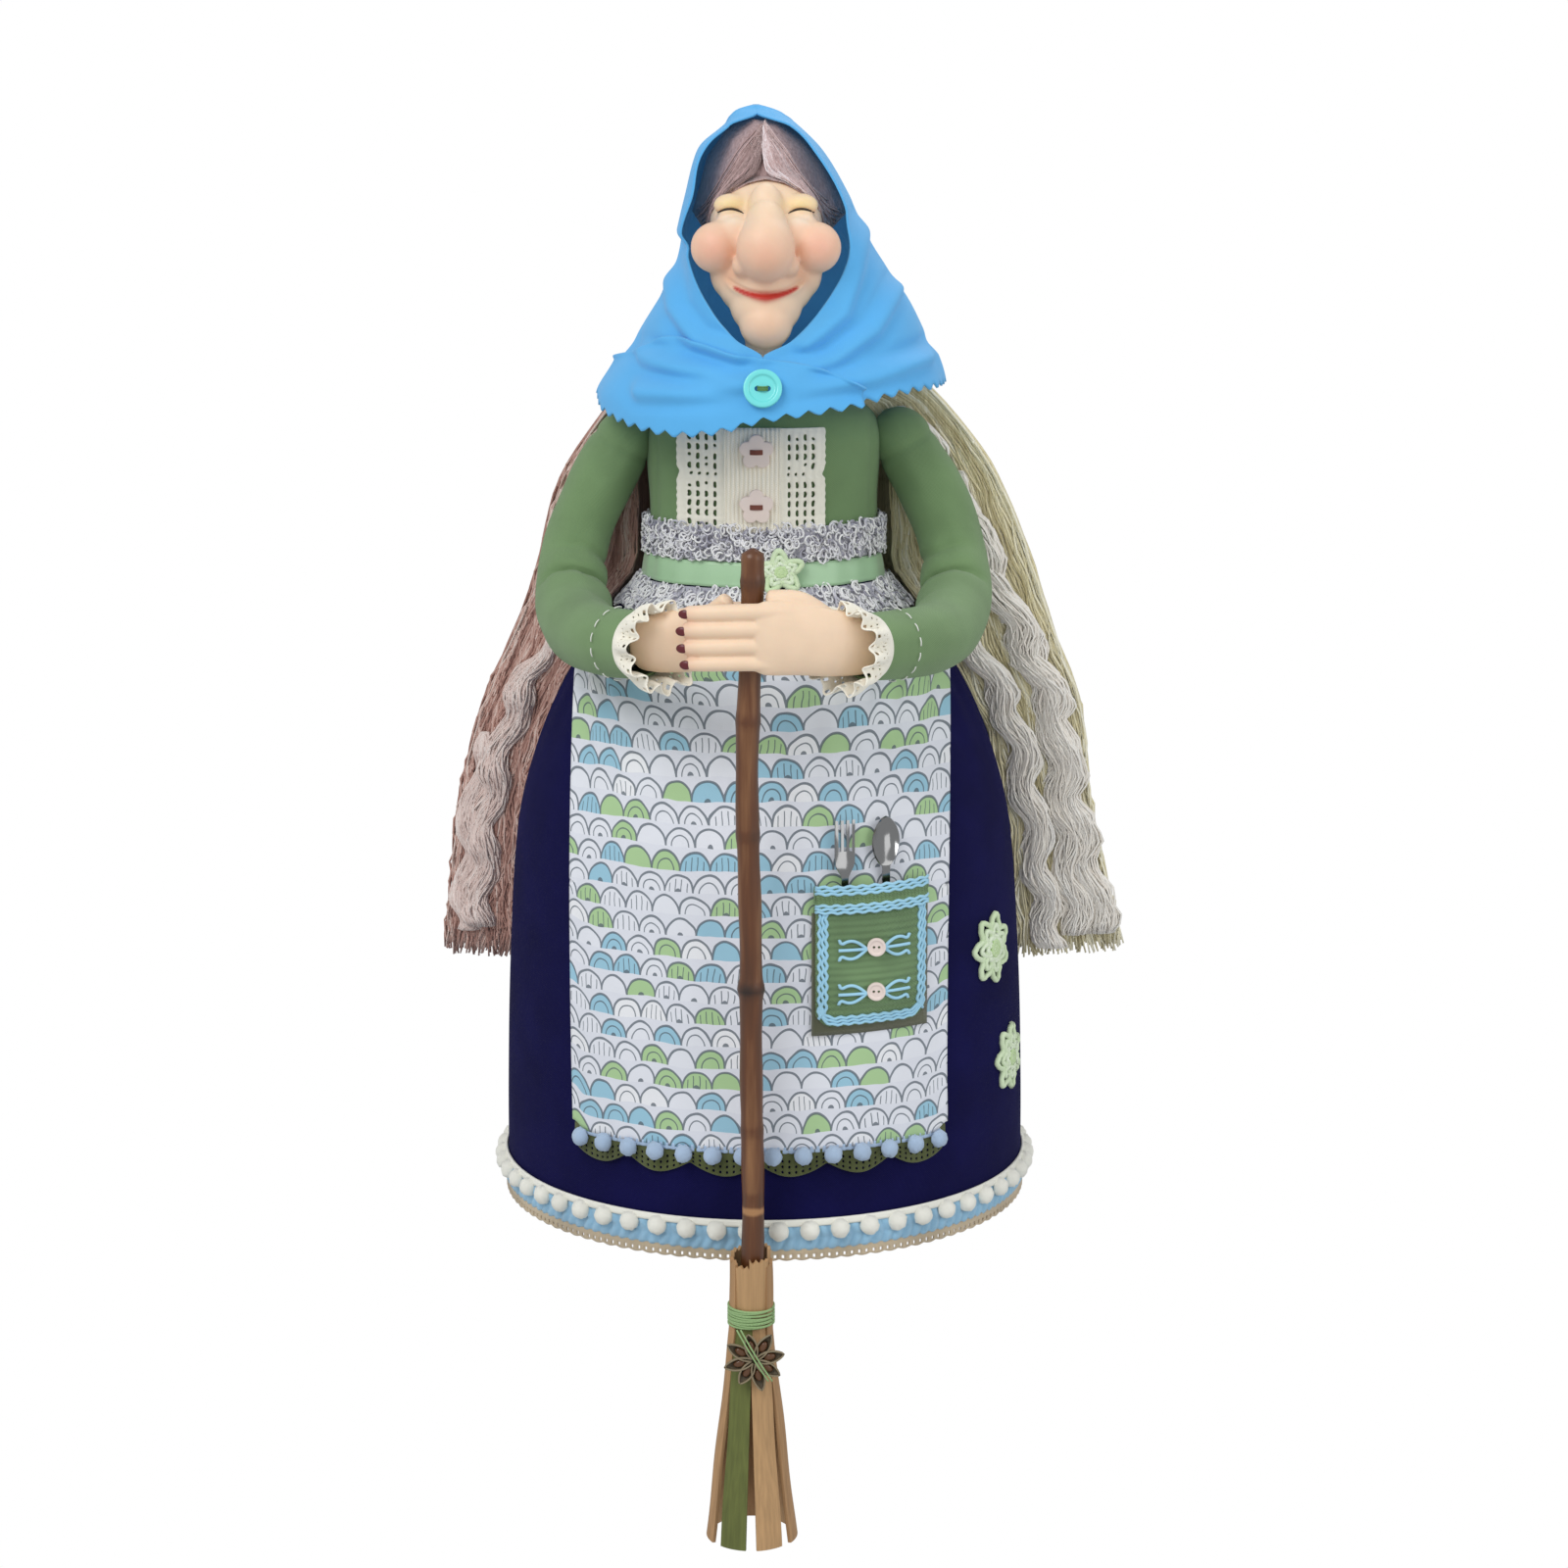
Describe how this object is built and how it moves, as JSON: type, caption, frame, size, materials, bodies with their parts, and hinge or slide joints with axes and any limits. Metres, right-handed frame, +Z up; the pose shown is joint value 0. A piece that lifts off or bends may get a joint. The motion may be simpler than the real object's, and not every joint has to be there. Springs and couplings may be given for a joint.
{
  "type": "kitchen witch doll",
  "caption": "Hanging cloth doll of a smiling old woman with a long nose, blue kerchief, long wool hair, navy skirt and apron, holding a twig broom",
  "frame": {"origin": "top of the hole of the hanging ring, behind the head, where a hook bears", "axes": "+Z up along the doll's axis, the doll faces -Y, +X towards the doll's left hand"},
  "size_m": [0.2472, 0.2185, 0.4749],
  "materials": {
    "wadding": "soft white cotton wadding in calico",
    "cardboard": "plain card",
    "wood": "split tan wood strips and dowel",
    "bark": "smooth brown bark with knots",
    "olive_strip": "dyed olive strip",
    "anise": "dried seed pod",
    "clay": "matte polymer clay, tinted",
    "green_cotton": "matte fine weave",
    "navy_cotton": "matte fine weave",
    "blue_cotton": "thin cotton, pinked edge",
    "print_cotton": "printed cotton",
    "cream_lace": "cotton lace",
    "blue_trim": "crocheted braid and pompoms",
    "green_trim": "crocheted thread",
    "olive_trim": "lace and felt",
    "melange_trim": "curly melange yarn",
    "satin_ribbon": "satin",
    "mauve_wool": "combed wool",
    "beige_wool": "combed wool",
    "cream_wool": "combed crimped wool",
    "steel": "pressed, bright",
    "button_plastic": "glossy",
    "button_wood": "painted pale pink",
    "brass": "plain"
  },
  "bodies": {
    "root": {"torso_stuffing": "wadding", "skirt_stuffing": "wadding", "arm_left": "wadding", "arm_right": "wadding", "base_disc": "cardboard", "neck_dowel": "wood", "head": "clay", "hand_left": "clay", "hand_right": "clay", "bodice": "green_cotton", "sleeve_left": "green_cotton", "sleeve_right": "green_cotton", "skirt": "navy_cotton", "hem_pompom_braid": "cream_lace", "hem_blue_braid": "blue_trim", "hem_lace_edge": "cream_lace", "waist_ruffle_upper": "melange_trim", "waist_ruffle_lower": "melange_trim", "waist_ribbon": "satin_ribbon", "waist_flower": "green_trim", "apron": "print_cotton", "apron_scallop_lace": "olive_trim", "apron_pompom_trim": "blue_trim", "pocket_backing": "olive_trim", "pocket": "green_cotton", "pocket_braid": "blue_trim", "pocket_button_upper": "button_wood", "pocket_button_lower": "button_wood", "fork": "steel", "spoon": "steel", "placket": "cream_lace", "lace_panel_left": "cream_lace", "lace_panel_right": "cream_lace", "flower_button_upper": "button_wood", "flower_button_lower": "button_wood", "cuff_lace_left": "cream_lace", "cuff_lace_right": "cream_lace", "kerchief": "blue_cotton", "kerchief_button": "button_plastic", "hair_front": "cream_wool", "hair_left": "mauve_wool", "hair_right": "beige_wool", "hair_back": "cream_wool", "lock_right_long": "cream_wool", "lock_left": "cream_wool", "skirt_flower_upper": "green_trim", "skirt_flower_lower": "green_trim", "broom_stick": "bark", "broom_binding": "green_trim", "star_anise": "anise", "hanging_ring": "brass", "ring_tab": "blue_cotton", "broom_strip_1": "wood", "broom_strip_2": "wood", "broom_strip_3": "wood", "broom_strip_4": "wood", "broom_strip_5": "wood", "broom_strip_6": "wood", "broom_strip_7": "olive_strip"}
  },
  "joints": []
}
